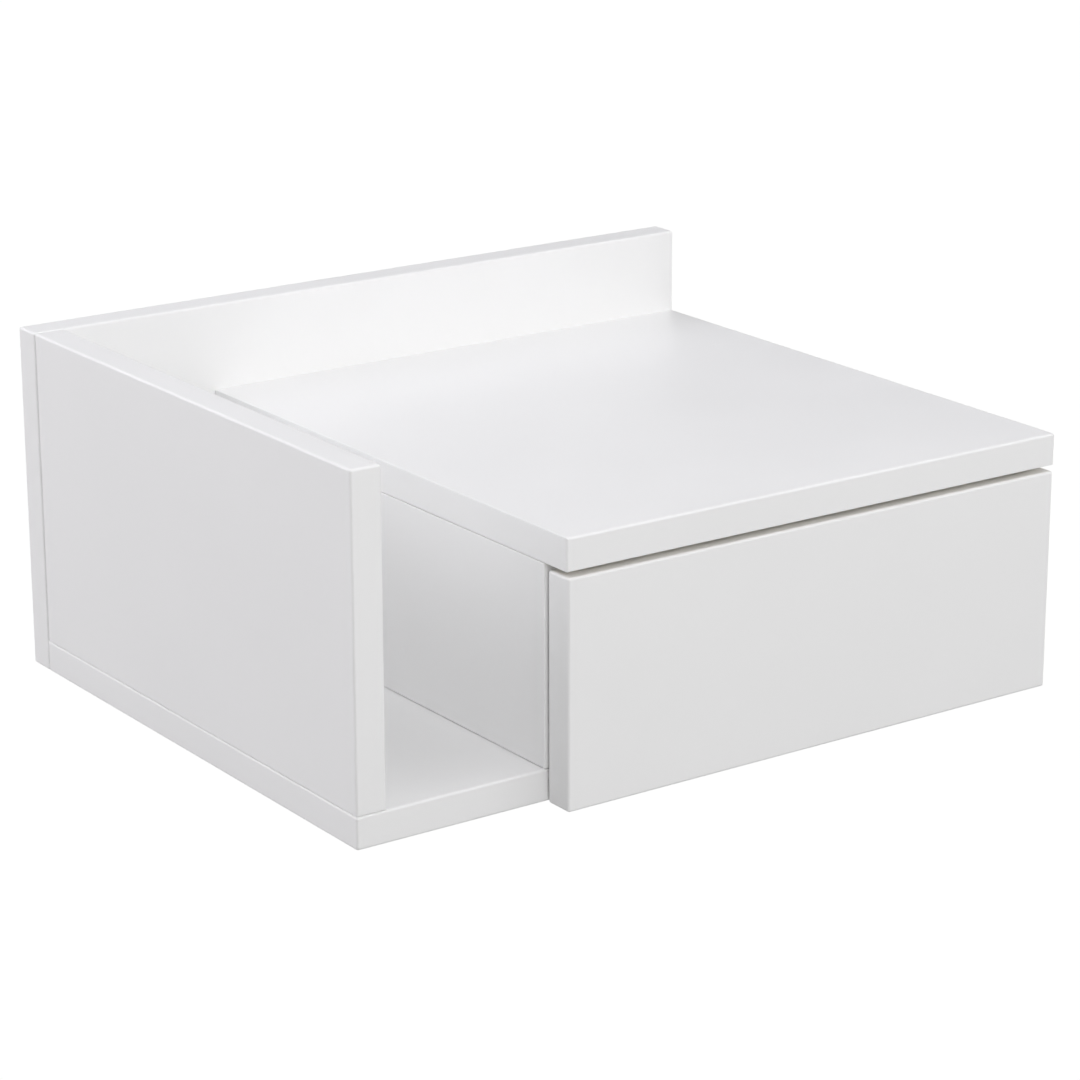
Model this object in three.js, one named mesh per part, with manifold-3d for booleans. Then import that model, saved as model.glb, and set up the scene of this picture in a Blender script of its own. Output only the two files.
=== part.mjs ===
// A nightstand that hangs on a wall: lacquered boards, an open compartment at the left, and one drawer
// on roller runners. Millimetres. +X is to the right, +Z is up and the front faces -Y. The wall is y = 0.
// Everything is built with z = 0 at the underside, and the last lines move the origin up to mid-height.

import * as THREE from 'three';
import { RoundedBoxGeometry } from 'three/addons/geometries/RoundedBoxGeometry.js';
import { mergeVertices } from 'three/addons/utils/BufferGeometryUtils.js';
import loadManifold from 'manifold-3d';

const wasm = await loadManifold();
wasm.setup();

// Driving dimensions of the cabinet
const cabinetWidth = 370;
const cabinetDepth = 305;
const backHeight = 165;
const topHeight = 123;
const boardThickness = 15;
const compartmentWidth = 80;
const arrisRadius = 1.2;
const sideSeam = 0.8;

// Driving dimensions of the drawer
const revealAbove = 3;
const revealLeft = 1;
const revealRight = 0.3;
const boxBoard = 12;
const boxHeadroom = 17.3;
const boxRearSpace = 20;
const boxArrisRadius = 1.2;
const boxBottomThickness = 3;
const boxBottomLift = 12;
const grooveDepth = 6;
const grooveClearance = 0.3;
const bumperRadius = 4;
const bumperThickness = 1.5;
const bumperEdge = 0.4;
const bumperDrop = 12;

// Driving dimensions of the roller runners
const runnerStockStep = 50;
const runnerSpace = 12.5;
const runnerSetback = 2;
const runnerLift = 6.5;
const sheet = 1.2;
const bendRadius = 0.8;
const channelDepth = 9.6;
const lowerLip = 4;
const upperLip = 3.5;
const lipClearance = 0.6;
const shelfDrop = 2;
const shelfWidth = 11;
const trackInset = 2.2;
const rollerRadius = 9;
const rollerWidth = 6;
const rollerEdge = 0.8;
const rollerInset = 1.8;
const rollerSetback = 12;
const rollerRecessRadius = 4.8;
const rollerRecessDepth = 1.6;
const rollingGap = 0.1;
const ceilingGap = 0.5;
const rollerWindow = 1.5;
const stopSetback = 42;
const stopLength = 3;
const stopHeight = 4;
const stopClearance = 0.3;

// Axles of the rollers: shouldered rivets
const axleRadius = 2.5;
const axleRunningClearance = 0.08;
const axleHeadRadius = 4.4;
const axleHeadHeight = 1.2;
const axleShoulderRadius = 4;
const axleTailRadius = 2;
const axleTailInset = 0.2;
const axlePlay = 0.2;

// Fasteners: length, shank radius, head radius and head height
const boardScrew = { length: 40, radius: 2, headRadius: 4, headHeight: 2.4 };
const runnerScrew = { length: 13, radius: 1.7, headRadius: 3.4, headHeight: 1.9 };
const shelfScrew = { length: 10, radius: 1.5, headRadius: 2.8, headHeight: 1.5 };
const frontScrew = { length: 22, radius: 2, headRadius: 4.2, headHeight: 2.4 };
const wallScrew = { length: 30, radius: 2.4, headRadius: 4.8, headHeight: 2.8 };
const dowel = { length: 30, radius: 4, edge: 0.8, depthInTop: 11 };
const screwTip = 3;
const screwSink = 0.3;
const webScrewSink = 0.1;
const holeClearance = 0.15;
const cutOverrun = 1;

// Places of the fasteners, as shares of the board that each row lies along
const bottomRowShares = [0.12, 0.5, 0.88];
const leftSideRowShares = [0.25, 0.75];
const uprightRowShare = 0.5;
const topRowShares = [0.3, 0.8];
const baseRowShares = [0.2, 0.85];
const dowelRowShares = [0.25, 0.8];
const wallHoleWidthShares = [0.2, 0.8];
const wallHoleHeightShares = [0.3, 0.78];
const runnerScrewShares = [0.24, 0.7];
const shelfScrewShares = [0.2, 0.75];
const frontScrewWidthShares = [0.15, 0.85];
const frontScrewHeightShares = [0.38, 0.82];

// Facets
const arrisSteps = 2;
const bendSteps = 3;
const screwFacets = 12;
const rollerFacets = 24;

// Planes that the boards share
const leftEnd = -cabinetWidth / 2;
const rightEnd = cabinetWidth / 2;
const backFace = -boardThickness;
const drawerFace = -cabinetDepth;
const frontRear = drawerFace + boardThickness;
const carcassFront = frontRear + bumperThickness;
const floorTop = boardThickness;
const topUnder = topHeight - boardThickness;
const dividerLeft = leftEnd + boardThickness + compartmentWidth;
const dividerRight = dividerLeft + boardThickness;
const rightInner = rightEnd - boardThickness;

// Planes of the drawer box and the runners, which come in stock lengths: the longest that fits is used
const boxLeft = dividerRight + runnerSpace;
const boxRight = rightInner - runnerSpace;
const runnerSteps = Math.floor((backFace - boxRearSpace - carcassFront) / runnerStockStep);
const runnerLength = runnerSteps * runnerStockStep;
const boxRear = frontRear + runnerLength;
const boxTop = topUnder - boxHeadroom;
const runnerBase = floorTop + runnerLift;
const boxUnder = runnerBase - shelfDrop + sheet;
const boxBottomUnder = boxUnder + boxBottomLift;
const rearRollerHeight = sheet + rollingGap + rollerRadius;
const channelHeight = rearRollerHeight + rollerRadius + ceilingGap + sheet;
const trackUnder = channelHeight - upperLip - lipClearance - sheet;
const frontRollerHeight = trackUnder - rollingGap - rollerRadius;
const channelFront = carcassFront + runnerSetback;
const channelRear = channelFront + runnerLength;

// Finishes
const lacquer = { color: '#ececee', roughness: 0.32, metalness: 0 };
const boxFoil = { color: '#e6e5e1', roughness: 0.5, metalness: 0 };
const hardboard = { color: '#dedcd5', roughness: 0.65, metalness: 0 };
const enamelledSteel = { color: '#e3e4e4', roughness: 0.38, metalness: 0.1 };
const nylon = { color: '#f0efe9', roughness: 0.55, metalness: 0 };
const zincSteel = { color: '#b9bcc0', roughness: 0.35, metalness: 0.9 };
const clearPad = { color: '#dfe6ea', roughness: 0.25, metalness: 0 };
const beech = { color: '#cfa878', roughness: 0.75, metalness: 0 };

const { Vector2, Vector3, Box3 } = THREE;
const toFront = new Vector3(0, -1, 0);
const toWall = new Vector3(0, 1, 0);
const up = new Vector3(0, 0, 1);

// From a geometry to a solid and back

function solid(geometry) {
  const bare = geometry.clone();
  bare.deleteAttribute('normal');
  bare.deleteAttribute('uv');
  const merged = mergeVertices(bare);
  const mesh = new wasm.Mesh({
    numProp: 3,
    vertProperties: new Float32Array(merged.attributes.position.array),
    triVerts: new Uint32Array(merged.index.array),
  });
  return new wasm.Manifold(mesh);
}

function geometryOf(body) {
  const mesh = body.getMesh();
  const geometry = new THREE.BufferGeometry();
  geometry.setAttribute('position', new THREE.BufferAttribute(mesh.vertProperties, 3));
  geometry.setIndex(new THREE.BufferAttribute(mesh.triVerts, 1));
  return geometry;
}

function cut(body, tools) {
  return tools.reduce((rest, tool) => rest.subtract(tool), body);
}

// A named piece whose solid was made where it stands: its own origin moves to the anchor.
function piece(group, name, body, finish, anchor) {
  const geometry = geometryOf(body);
  geometry.translate(-anchor.x, -anchor.y, -anchor.z);
  geometry.computeVertexNormals();
  const mesh = new THREE.Mesh(geometry, new THREE.MeshStandardMaterial(finish));
  mesh.name = name;
  mesh.position.copy(anchor);
  group.add(mesh);
}

// A share of the way from one plane to another
function between(from, to, share) {
  return from + (to - from) * share;
}

// Boards

function spanBox(xs, ys, zs) {
  return new Box3(new Vector3(xs[0], ys[0], zs[0]), new Vector3(xs[1], ys[1], zs[1]));
}

function block(box) {
  const size = box.getSize(new Vector3());
  const centre = box.getCenter(new Vector3());
  return solid(new THREE.BoxGeometry(size.x, size.y, size.z).translate(centre.x, centre.y, centre.z));
}

// A board with its arrises rounded. A side in squareSides, such as '-z', meets another board and stays
// sharp: the rounded board is made longer there and sawn off at the true plane.
function easedBoard(box, radius, squareSides) {
  const rough = box.clone();
  for (const [sign, axis] of squareSides) {
    if (sign === '-') {
      rough.min[axis] -= radius;
    } else {
      rough.max[axis] += radius;
    }
  }
  const size = rough.getSize(new Vector3());
  const centre = rough.getCenter(new Vector3());
  const rounded = new RoundedBoxGeometry(size.x, size.y, size.z, arrisSteps, radius);
  const board = solid(rounded.translate(centre.x, centre.y, centre.z));
  return squareSides.length > 0 ? board.intersect(block(box)) : board;
}

function boardPiece(group, name, body, finish, box) {
  piece(group, name, body, finish, box.getCenter(new Vector3()));
}

// Turned pieces: a profile of [radius, distance along the axis], spun about the axis

function turnedGeometry(profile, facets) {
  return new THREE.LatheGeometry(profile.map(([radius, along]) => new Vector2(radius, along)), facets);
}

function aim(direction) {
  return new THREE.Quaternion().setFromUnitVectors(toWall, direction);
}

function turnedTool(profile, facets, at, direction) {
  const geometry = turnedGeometry(profile, facets);
  geometry.applyQuaternion(aim(direction)).translate(at.x, at.y, at.z);
  return solid(geometry);
}

function turnedPiece(group, name, profile, facets, finish, at, direction) {
  const geometry = turnedGeometry(profile, facets);
  const mesh = new THREE.Mesh(geometry, new THREE.MeshStandardMaterial(finish));
  mesh.name = name;
  mesh.position.copy(at);
  mesh.quaternion.copy(aim(direction));
  group.add(mesh);
}

// Screws start at the outer face of the head and point along the axis.

function countersunkProfile(screw) {
  return [
    [0, 0],
    [screw.headRadius, 0],
    [screw.radius, screw.headHeight],
    [screw.radius, screw.length - screwTip],
    [0, screw.length],
  ];
}

function countersunkHole(screw) {
  return [
    [0, -cutOverrun],
    [screw.headRadius + holeClearance, -cutOverrun],
    [screw.headRadius + holeClearance, 0],
    [screw.radius + holeClearance, screw.headHeight + holeClearance],
    [screw.radius + holeClearance, screw.length + holeClearance],
    [0, screw.length + holeClearance],
  ];
}

// A pan head stands on the face, so this screw starts at the bearing face of the head.
function panHeadProfile(screw) {
  return [
    [0, -screw.headHeight],
    [screw.headRadius / 2, -screw.headHeight],
    [screw.headRadius, -screw.headHeight / 2],
    [screw.headRadius, 0],
    [screw.radius, 0],
    [screw.radius, screw.length - screwTip],
    [0, screw.length],
  ];
}

function panHeadHole(screw) {
  return [
    [0, -cutOverrun],
    [screw.radius + holeClearance, -cutOverrun],
    [screw.radius + holeClearance, screw.length + holeClearance],
    [0, screw.length + holeClearance],
  ];
}

function dowelProfile(grow) {
  return [
    [0, -grow],
    [dowel.radius - dowel.edge + grow, -grow],
    [dowel.radius + grow, dowel.edge],
    [dowel.radius + grow, dowel.length - dowel.edge],
    [dowel.radius - dowel.edge + grow, dowel.length + grow],
    [0, dowel.length + grow],
  ];
}

// Rows of fasteners: each is a name, a point and a direction

function backScrews() {
  const points = [];
  for (const share of bottomRowShares) {
    points.push([between(leftEnd, rightEnd, share), boardThickness / 2]);
  }
  for (const share of leftSideRowShares) {
    points.push([leftEnd + boardThickness / 2, between(floorTop, backHeight, share)]);
  }
  for (const x of [dividerLeft + boardThickness / 2, rightEnd - boardThickness / 2]) {
    points.push([x, between(floorTop, topUnder, uprightRowShare)]);
  }
  for (const share of topRowShares) {
    points.push([between(dividerLeft, rightEnd, share), topUnder + boardThickness / 2]);
  }
  return points.map(([x, z], i) => ({
    name: `back_screw_${i + 1}`,
    at: new Vector3(x, -screwSink, z),
    direction: toFront,
  }));
}

function baseScrews() {
  const uprights = [leftEnd, dividerLeft, rightInner];
  const points = uprights.flatMap((x) => baseRowShares.map((share) => [x, share]));
  return points.map(([x, share], i) => ({
    name: `base_screw_${i + 1}`,
    at: new Vector3(x + boardThickness / 2, between(backFace, carcassFront, share), screwSink),
    direction: up,
  }));
}

function topDowels() {
  const points = [dividerLeft, rightInner].flatMap((x) => dowelRowShares.map((share) => [x, share]));
  return points.map(([x, share], i) => ({
    name: `top_dowel_${i + 1}`,
    at: new Vector3(
      x + boardThickness / 2,
      between(backFace, carcassFront, share),
      topUnder + dowel.depthInTop - dowel.length,
    ),
    direction: up,
  }));
}

// The holes for the wall's screws lie behind the drawer, sunk from the front of the back panel.
function wallHoles() {
  return wallHoleWidthShares.flatMap((across) => wallHoleHeightShares.map((high) => ({
    at: new Vector3(between(dividerRight, rightInner, across), backFace, between(floorTop, topUnder, high)),
    direction: toWall,
  })));
}

// One runner screw row for the side whose wall stands at x, with the drawer on its inward side
function runnerScrews(side) {
  return runnerScrewShares.map((share, i) => ({
    name: `${side.name}_cabinet_runner_screw_${i + 1}`,
    at: new Vector3(
      side.wall + side.inward * (sheet - webScrewSink),
      between(channelFront, channelRear, share),
      runnerBase + channelHeight / 2,
    ),
    direction: new Vector3(-side.inward, 0, 0),
  }));
}

function shelfScrews(side) {
  return shelfScrewShares.map((share, i) => ({
    name: `${side.name}_drawer_runner_screw_${i + 1}`,
    at: new Vector3(
      side.wall + side.inward * (runnerSpace + boxBoard / 2),
      between(frontRear, boxRear, share),
      runnerBase - shelfDrop + webScrewSink,
    ),
    direction: up,
  }));
}

function frontScrews() {
  const points = frontScrewWidthShares.flatMap(
    (across) => frontScrewHeightShares.map((high) => [across, high]),
  );
  return points.map(([across, high], i) => ({
    name: `drawer_front_screw_${i + 1}`,
    at: new Vector3(
      between(boxLeft, boxRight, across),
      frontRear + boxBoard,
      between(boxUnder, boxTop, high),
    ),
    direction: toFront,
  }));
}

function holes(row, profile) {
  return row.map(({ at, direction }) => turnedTool(profile, screwFacets, at, direction));
}

function fasteners(group, row, profile, finish) {
  for (const { name, at, direction } of row) {
    turnedPiece(group, name, profile, screwFacets, finish, at, direction);
  }
}

const sides = [
  { name: 'left', wall: dividerRight, inward: 1 },
  { name: 'right', wall: rightInner, inward: -1 },
];

// The cabinet: six lacquered boards

function cabinetBoards(group) {
  const tools = [
    ...holes(backScrews(), countersunkHole(boardScrew)),
    ...holes(baseScrews(), countersunkHole(boardScrew)),
    ...holes(topDowels(), dowelProfile(holeClearance)),
    ...holes(wallHoles(), countersunkHole(wallScrew)),
    ...sides.flatMap((side) => holes(runnerScrews(side), countersunkHole(runnerScrew))),
  ];
  const backBox = spanBox([leftEnd, rightEnd], [backFace, 0], [0, backHeight]);
  const bottomBox = spanBox([leftEnd, rightEnd], [carcassFront, backFace], [0, floorTop]);
  const leftBox = spanBox(
    [leftEnd, leftEnd + boardThickness],
    [carcassFront, backFace - sideSeam],
    [floorTop, backHeight],
  );
  const dividerBox = spanBox([dividerLeft, dividerRight], [carcassFront, backFace], [floorTop, topUnder]);
  const rightBox = spanBox([rightInner, rightEnd], [carcassFront, backFace], [floorTop, topUnder]);
  const topBox = spanBox([dividerLeft, rightEnd], [drawerFace, backFace], [topUnder, topHeight]);

  const boards = [
    ['back_panel', backBox, easedBoard(backBox, arrisRadius, [])],
    ['bottom_panel', bottomBox, easedBoard(bottomBox, arrisRadius, ['+y'])],
    ['left_side_panel', leftBox, easedBoard(leftBox, arrisRadius, ['-z'])],
    ['divider_panel', dividerBox, easedBoard(dividerBox, arrisRadius, ['-z', '+z', '+y'])],
    ['right_side_panel', rightBox, easedBoard(rightBox, arrisRadius, ['-z', '+z', '+y'])],
    ['top_panel', topBox, topBoard(topBox)],
  ];
  for (const [name, box, body] of boards) {
    boardPiece(group, name, cut(body, tools), lacquer, box);
  }
}

// The top's lower left arris stays sharp over the flush divider, and its other arrises are rounded: a
// strip as thick as the rounding fills that one arris behind the rounded front corner.
function topBoard(box) {
  const strip = box.clone();
  strip.min.y += arrisRadius;
  strip.max.x = strip.min.x + arrisRadius;
  strip.max.z = strip.min.z + arrisRadius;
  return easedBoard(box, arrisRadius, ['+y']).add(block(strip));
}

function bumpers(group) {
  const profile = [
    [0, 0],
    [bumperRadius, 0],
    [bumperRadius, bumperThickness - bumperEdge],
    [bumperRadius - bumperEdge, bumperThickness],
    [0, bumperThickness],
  ];
  const places = { left: dividerRight - boardThickness / 2, right: rightEnd - boardThickness / 2 };
  for (const [name, x] of Object.entries(places)) {
    const at = new Vector3(x, carcassFront, topUnder - bumperDrop);
    turnedPiece(group, `${name}_bumper_pad`, profile, screwFacets, clearPad, at, toFront);
  }
}

// The drawer: a lacquered front on a box of foiled boards

function drawerBoards(group) {
  const shelfTools = sides.flatMap((side) => holes(shelfScrews(side), countersunkHole(shelfScrew)));
  const frontTools = holes(frontScrews(), panHeadHole(frontScrew));
  const bottomBox = spanBox(
    [boxLeft + boxBoard - grooveDepth, boxRight - boxBoard + grooveDepth],
    [frontRear + boxBoard - grooveDepth, boxRear - boxBoard + grooveDepth],
    [boxBottomUnder, boxBottomUnder + boxBottomThickness],
  );
  const groove = block(bottomBox.clone().expandByScalar(grooveClearance));
  const faceBox = spanBox(
    [dividerLeft + revealLeft, rightEnd - revealRight],
    [drawerFace, frontRear],
    [0, topUnder - revealAbove],
  );
  const leftBox = spanBox([boxLeft, boxLeft + boxBoard], [frontRear, boxRear], [boxUnder, boxTop]);
  const rightBox = spanBox([boxRight - boxBoard, boxRight], [frontRear, boxRear], [boxUnder, boxTop]);
  const acrossBox = [boxLeft + boxBoard, boxRight - boxBoard];
  const frontBox = spanBox(acrossBox, [frontRear, frontRear + boxBoard], [boxUnder, boxTop]);
  const backBox = spanBox(acrossBox, [boxRear - boxBoard, boxRear], [boxUnder, boxTop]);

  const boards = [
    ['drawer_front', faceBox, easedBoard(faceBox, arrisRadius, []), lacquer],
    ['drawer_left_side', leftBox, easedBoard(leftBox, boxArrisRadius, ['-y']), boxFoil],
    ['drawer_right_side', rightBox, easedBoard(rightBox, boxArrisRadius, ['-y']), boxFoil],
    ['drawer_box_front', frontBox, easedBoard(frontBox, boxArrisRadius, ['-x', '+x', '-y']), boxFoil],
    ['drawer_box_back', backBox, easedBoard(backBox, boxArrisRadius, ['-x', '+x']), boxFoil],
  ];
  for (const [name, box, body, finish] of boards) {
    boardPiece(group, name, cut(body, [...shelfTools, ...frontTools, groove]), finish, box);
  }
  boardPiece(group, 'drawer_bottom', block(bottomBox), hardboard, bottomBox);
}

// The runners: sheet steel folded along a path in its mid-plane, with rounded bends

function foldedSheet(path) {
  const half = sheet / 2;
  const radius = bendRadius + half;
  const ahead = path.slice(1).map((point, i) => point.clone().sub(path[i]).normalize());
  const leftFace = [];
  const rightFace = [];
  const addPair = (point, direction) => {
    const normal = new Vector2(-direction.y, direction.x).multiplyScalar(half);
    leftFace.push(point.clone().add(normal));
    rightFace.unshift(point.clone().sub(normal));
  };
  addPair(path[0], ahead[0]);
  for (let i = 1; i < path.length - 1; i += 1) {
    const before = ahead[i - 1];
    const turn = Math.sign(before.cross(ahead[i]));
    const angle = before.angleTo(ahead[i]);
    const start = path[i].clone().addScaledVector(before, -radius * Math.tan(angle / 2));
    const spoke = new Vector2(-before.y, before.x).multiplyScalar(turn * radius);
    const centre = start.clone().add(spoke);
    for (let step = 0; step <= bendSteps; step += 1) {
      const turned = (turn * angle * step) / bendSteps;
      const point = start.clone().rotateAround(centre, turned);
      addPair(point, before.clone().rotateAround(new Vector2(), turned));
    }
  }
  addPair(path[path.length - 1], ahead[ahead.length - 1]);
  return new THREE.Shape([...leftFace, ...rightFace]);
}

// A folded profile, drawn as [distance from the side's wall, height over the runner's base], pulled
// from its rear end to the front.
function runnerProfile(side, points, rear) {
  const path = points.map(([inward, high]) => new Vector2(side.wall + side.inward * inward, high));
  const geometry = new THREE.ExtrudeGeometry(foldedSheet(path), {
    depth: runnerLength,
    bevelEnabled: false,
  });
  return solid(geometry.rotateX(Math.PI / 2).translate(0, rear, runnerBase));
}

// A box beside a runner, from two distances off the wall, two planes in y and two heights over the base
function besideRunner(side, inward, ys, highs) {
  const xs = inward.map((distance) => side.wall + side.inward * distance);
  return block(spanBox(
    [Math.min(...xs), Math.max(...xs)],
    ys,
    highs.map((high) => runnerBase + high),
  ));
}

function axleHole(side, y, high) {
  const profile = [
    [0, -cutOverrun],
    [axleTailRadius + axleRunningClearance, -cutOverrun],
    [axleTailRadius + axleRunningClearance, runnerSpace],
    [0, runnerSpace],
  ];
  const at = new Vector3(side.wall, y, runnerBase + high);
  return turnedTool(profile, rollerFacets, at, new Vector3(side.inward, 0, 0));
}

const cabinetRollerY = channelFront + rollerSetback;
const drawerRollerY = boxRear - rollerSetback;

// The channel screwed to the cabinet: the drawer's roller runs on its floor, and a stop at its front
// ends the travel. Its own roller stands in a window cut in the floor.
function cabinetRunner(group, side) {
  const half = sheet / 2;
  const lipLine = channelDepth - half;
  const profile = runnerProfile(side, [
    [lipLine, lowerLip],
    [lipLine, half],
    [half, half],
    [half, channelHeight - half],
    [lipLine, channelHeight - half],
    [lipLine, channelHeight - upperLip],
  ], channelRear);
  const window = besideRunner(
    side,
    [sheet, channelDepth + cutOverrun],
    [channelFront - cutOverrun, cabinetRollerY + rollerRadius + rollerWindow],
    [-cutOverrun, lowerLip + cutOverrun],
  );
  const stop = besideRunner(
    side,
    [half, lipLine],
    [channelFront + stopSetback - stopLength, channelFront + stopSetback],
    [half, sheet + stopHeight],
  );
  const tools = [
    window,
    axleHole(side, cabinetRollerY, frontRollerHeight),
    ...holes(runnerScrews(side), countersunkHole(runnerScrew)),
  ];
  const anchor = new Vector3(side.wall, channelRear, runnerBase);
  piece(group, `${side.name}_cabinet_runner`, cut(profile.add(stop), tools), enamelledSteel, anchor);
}

// The angle screwed under the drawer: its shelf carries the side, and its track rides on the cabinet's
// roller. The track is cut away over its own roller at the rear.
function drawerRunner(group, side) {
  const half = sheet / 2;
  const web = runnerSpace - half;
  const profile = runnerProfile(side, [
    [runnerSpace + shelfWidth, half - shelfDrop],
    [web, half - shelfDrop],
    [web, trackUnder + half],
    [trackInset, trackUnder + half],
  ], boxRear);
  const window = besideRunner(
    side,
    [trackInset - cutOverrun, runnerSpace - sheet],
    [drawerRollerY - rollerRadius - rollerWindow, boxRear + cutOverrun],
    [trackUnder - sheet, trackUnder + sheet + cutOverrun],
  );
  const tools = [
    window,
    axleHole(side, drawerRollerY, rearRollerHeight),
    ...holes(shelfScrews(side), countersunkHole(shelfScrew)),
  ];
  const anchor = new Vector3(side.wall, boxRear, runnerBase);
  piece(group, `${side.name}_drawer_runner`, cut(profile, tools), enamelledSteel, anchor);
}

// A roller starts at its recessed face, which hides the head of its axle.
function rollerProfile() {
  const bore = axleRadius + axleRunningClearance;
  return [
    [bore, rollerRecessDepth],
    [rollerRecessRadius, rollerRecessDepth],
    [rollerRecessRadius, 0],
    [rollerRadius - rollerEdge, 0],
    [rollerRadius, rollerEdge],
    [rollerRadius, rollerWidth - rollerEdge],
    [rollerRadius - rollerEdge, rollerWidth],
    [bore, rollerWidth],
    [bore, rollerRecessDepth],
  ];
}

// An axle starts at the outer face of its head. The shoulder reaches from the roller to the sheet.
function axleProfile(shoulder) {
  const shank = axleHeadHeight + axlePlay + rollerWidth - rollerRecessDepth + axlePlay;
  return [
    [0, 0],
    [axleHeadRadius, 0],
    [axleHeadRadius, axleHeadHeight],
    [axleRadius, axleHeadHeight],
    [axleRadius, shank],
    [axleShoulderRadius, shank],
    [axleShoulderRadius, shank + shoulder],
    [axleTailRadius, shank + shoulder],
    [axleTailRadius, shank + shoulder + sheet - axleTailInset],
    [0, shank + shoulder + sheet - axleTailInset],
  ];
}

// Places a roller and its axle. The recess faces against the direction in which the axle points.
function rollerOnAxle(group, name, face, direction, shoulder) {
  const head = face.clone().addScaledVector(direction, rollerRecessDepth - axlePlay - axleHeadHeight);
  turnedPiece(group, `${name}_roller`, rollerProfile(), rollerFacets, nylon, face, direction);
  turnedPiece(group, `${name}_axle`, axleProfile(shoulder), rollerFacets, zincSteel, head, direction);
}

function cabinetRoller(group, side) {
  const inner = rollerInset + rollerWidth;
  const face = new Vector3(side.wall + side.inward * inner, cabinetRollerY, runnerBase + frontRollerHeight);
  const toCabinet = new Vector3(-side.inward, 0, 0);
  rollerOnAxle(group, `${side.name}_cabinet`, face, toCabinet, rollerInset - axlePlay - sheet);
}

function drawerRoller(group, side) {
  const face = new Vector3(
    side.wall + side.inward * rollerInset,
    drawerRollerY,
    runnerBase + rearRollerHeight,
  );
  const toDrawer = new Vector3(side.inward, 0, 0);
  const shoulder = runnerSpace - sheet - rollerInset - rollerWidth - axlePlay;
  rollerOnAxle(group, `${side.name}_drawer`, face, toDrawer, shoulder);
}

// How far the drawer opens: its roller comes to the stop in the channel.
function drawerTravel() {
  const reach = Math.sqrt(rollerRadius ** 2 - (rollerRadius + rollingGap - stopHeight) ** 2);
  return drawerRollerY - reach - stopClearance - (channelFront + stopSetback);
}

// The assembly

const cabinet = new THREE.Group();
cabinet.name = 'cabinet';
cabinetBoards(cabinet);
fasteners(cabinet, backScrews(), countersunkProfile(boardScrew), zincSteel);
fasteners(cabinet, baseScrews(), countersunkProfile(boardScrew), zincSteel);
fasteners(cabinet, topDowels(), dowelProfile(0), beech);
bumpers(cabinet);

const drawer = new THREE.Group();
drawer.name = 'drawer';
drawer.userData.travel = drawerTravel();
drawerBoards(drawer);
fasteners(drawer, frontScrews(), panHeadProfile(frontScrew), zincSteel);

for (const side of sides) {
  cabinetRunner(cabinet, side);
  cabinetRoller(cabinet, side);
  fasteners(cabinet, runnerScrews(side), countersunkProfile(runnerScrew), zincSteel);
  drawerRunner(drawer, side);
  drawerRoller(drawer, side);
  fasteners(drawer, shelfScrews(side), countersunkProfile(shelfScrew), zincSteel);
}

const nightstand = new THREE.Group();
nightstand.name = 'floating_nightstand';
for (const group of [cabinet, drawer]) {
  group.position.z = -backHeight / 2;
  nightstand.add(group);
}

export default nightstand;
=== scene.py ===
# %% [markdown]
# # A nightstand that hangs on the wall
# This lesson dresses a packed assembly: white lacquered boards, one drawer and the pair of roller runners
# that it slides on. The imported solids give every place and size, so nothing here is fitted by eye. Each cell
# makes one kind of piece or one finish, and says how the real one is made.

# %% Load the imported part
import math
import bmesh
import bpy
from mathutils import Euler, Matrix, Vector


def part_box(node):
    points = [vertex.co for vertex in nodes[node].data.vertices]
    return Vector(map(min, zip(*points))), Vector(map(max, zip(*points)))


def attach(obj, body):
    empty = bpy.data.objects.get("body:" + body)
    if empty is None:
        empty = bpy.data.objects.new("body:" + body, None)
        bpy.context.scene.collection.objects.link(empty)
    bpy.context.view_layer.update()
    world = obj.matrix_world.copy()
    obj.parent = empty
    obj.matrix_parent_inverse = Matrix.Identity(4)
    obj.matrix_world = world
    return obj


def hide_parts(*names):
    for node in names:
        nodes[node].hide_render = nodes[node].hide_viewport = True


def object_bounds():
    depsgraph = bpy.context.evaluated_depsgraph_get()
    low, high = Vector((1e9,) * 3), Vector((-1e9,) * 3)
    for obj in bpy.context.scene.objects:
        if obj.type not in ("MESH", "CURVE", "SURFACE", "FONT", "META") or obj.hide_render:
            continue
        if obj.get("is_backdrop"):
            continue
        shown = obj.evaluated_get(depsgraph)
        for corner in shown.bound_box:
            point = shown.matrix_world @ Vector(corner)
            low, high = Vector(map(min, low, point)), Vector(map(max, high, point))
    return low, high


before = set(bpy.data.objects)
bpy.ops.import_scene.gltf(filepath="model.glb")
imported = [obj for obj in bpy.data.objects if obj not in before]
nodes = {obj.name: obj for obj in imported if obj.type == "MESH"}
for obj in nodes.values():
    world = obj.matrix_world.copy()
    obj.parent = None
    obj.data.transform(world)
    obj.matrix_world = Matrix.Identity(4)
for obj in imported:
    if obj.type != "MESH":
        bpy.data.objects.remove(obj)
cad_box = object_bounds()
print("the packed box is", [round(side * 1000, 1) for side in cad_box[1] - cad_box[0]], "mm")

# %% [markdown]
# ## Units, colours and nodes
# Blender works in metres and in linear light, but a maker thinks in millimetres and picks colours on a
# screen. One factor and one function bridge that. Every node of every tree in this file comes from `add`,
# which takes a node's kind, its settings and its links. A Mix node keeps its two colours in numbered inputs
# and gives the mixed colour in a numbered output, so these three numbers have names.

# %% Small helpers
MM = 0.001
WELD = 0.001 * MM  # points nearer than this are one point
A, B, MIXED = 6, 7, 2


def linear(hex_colour):
    """The linear RGBA of an sRGB colour such as 'e9e9ea'."""
    levels = [int(hex_colour[i:i + 2], 16) / 255 for i in (0, 2, 4)]
    return [v / 12.92 if v <= 0.04045 else ((v + 0.055) / 1.055) ** 2.4 for v in levels] + [1.0]


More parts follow.
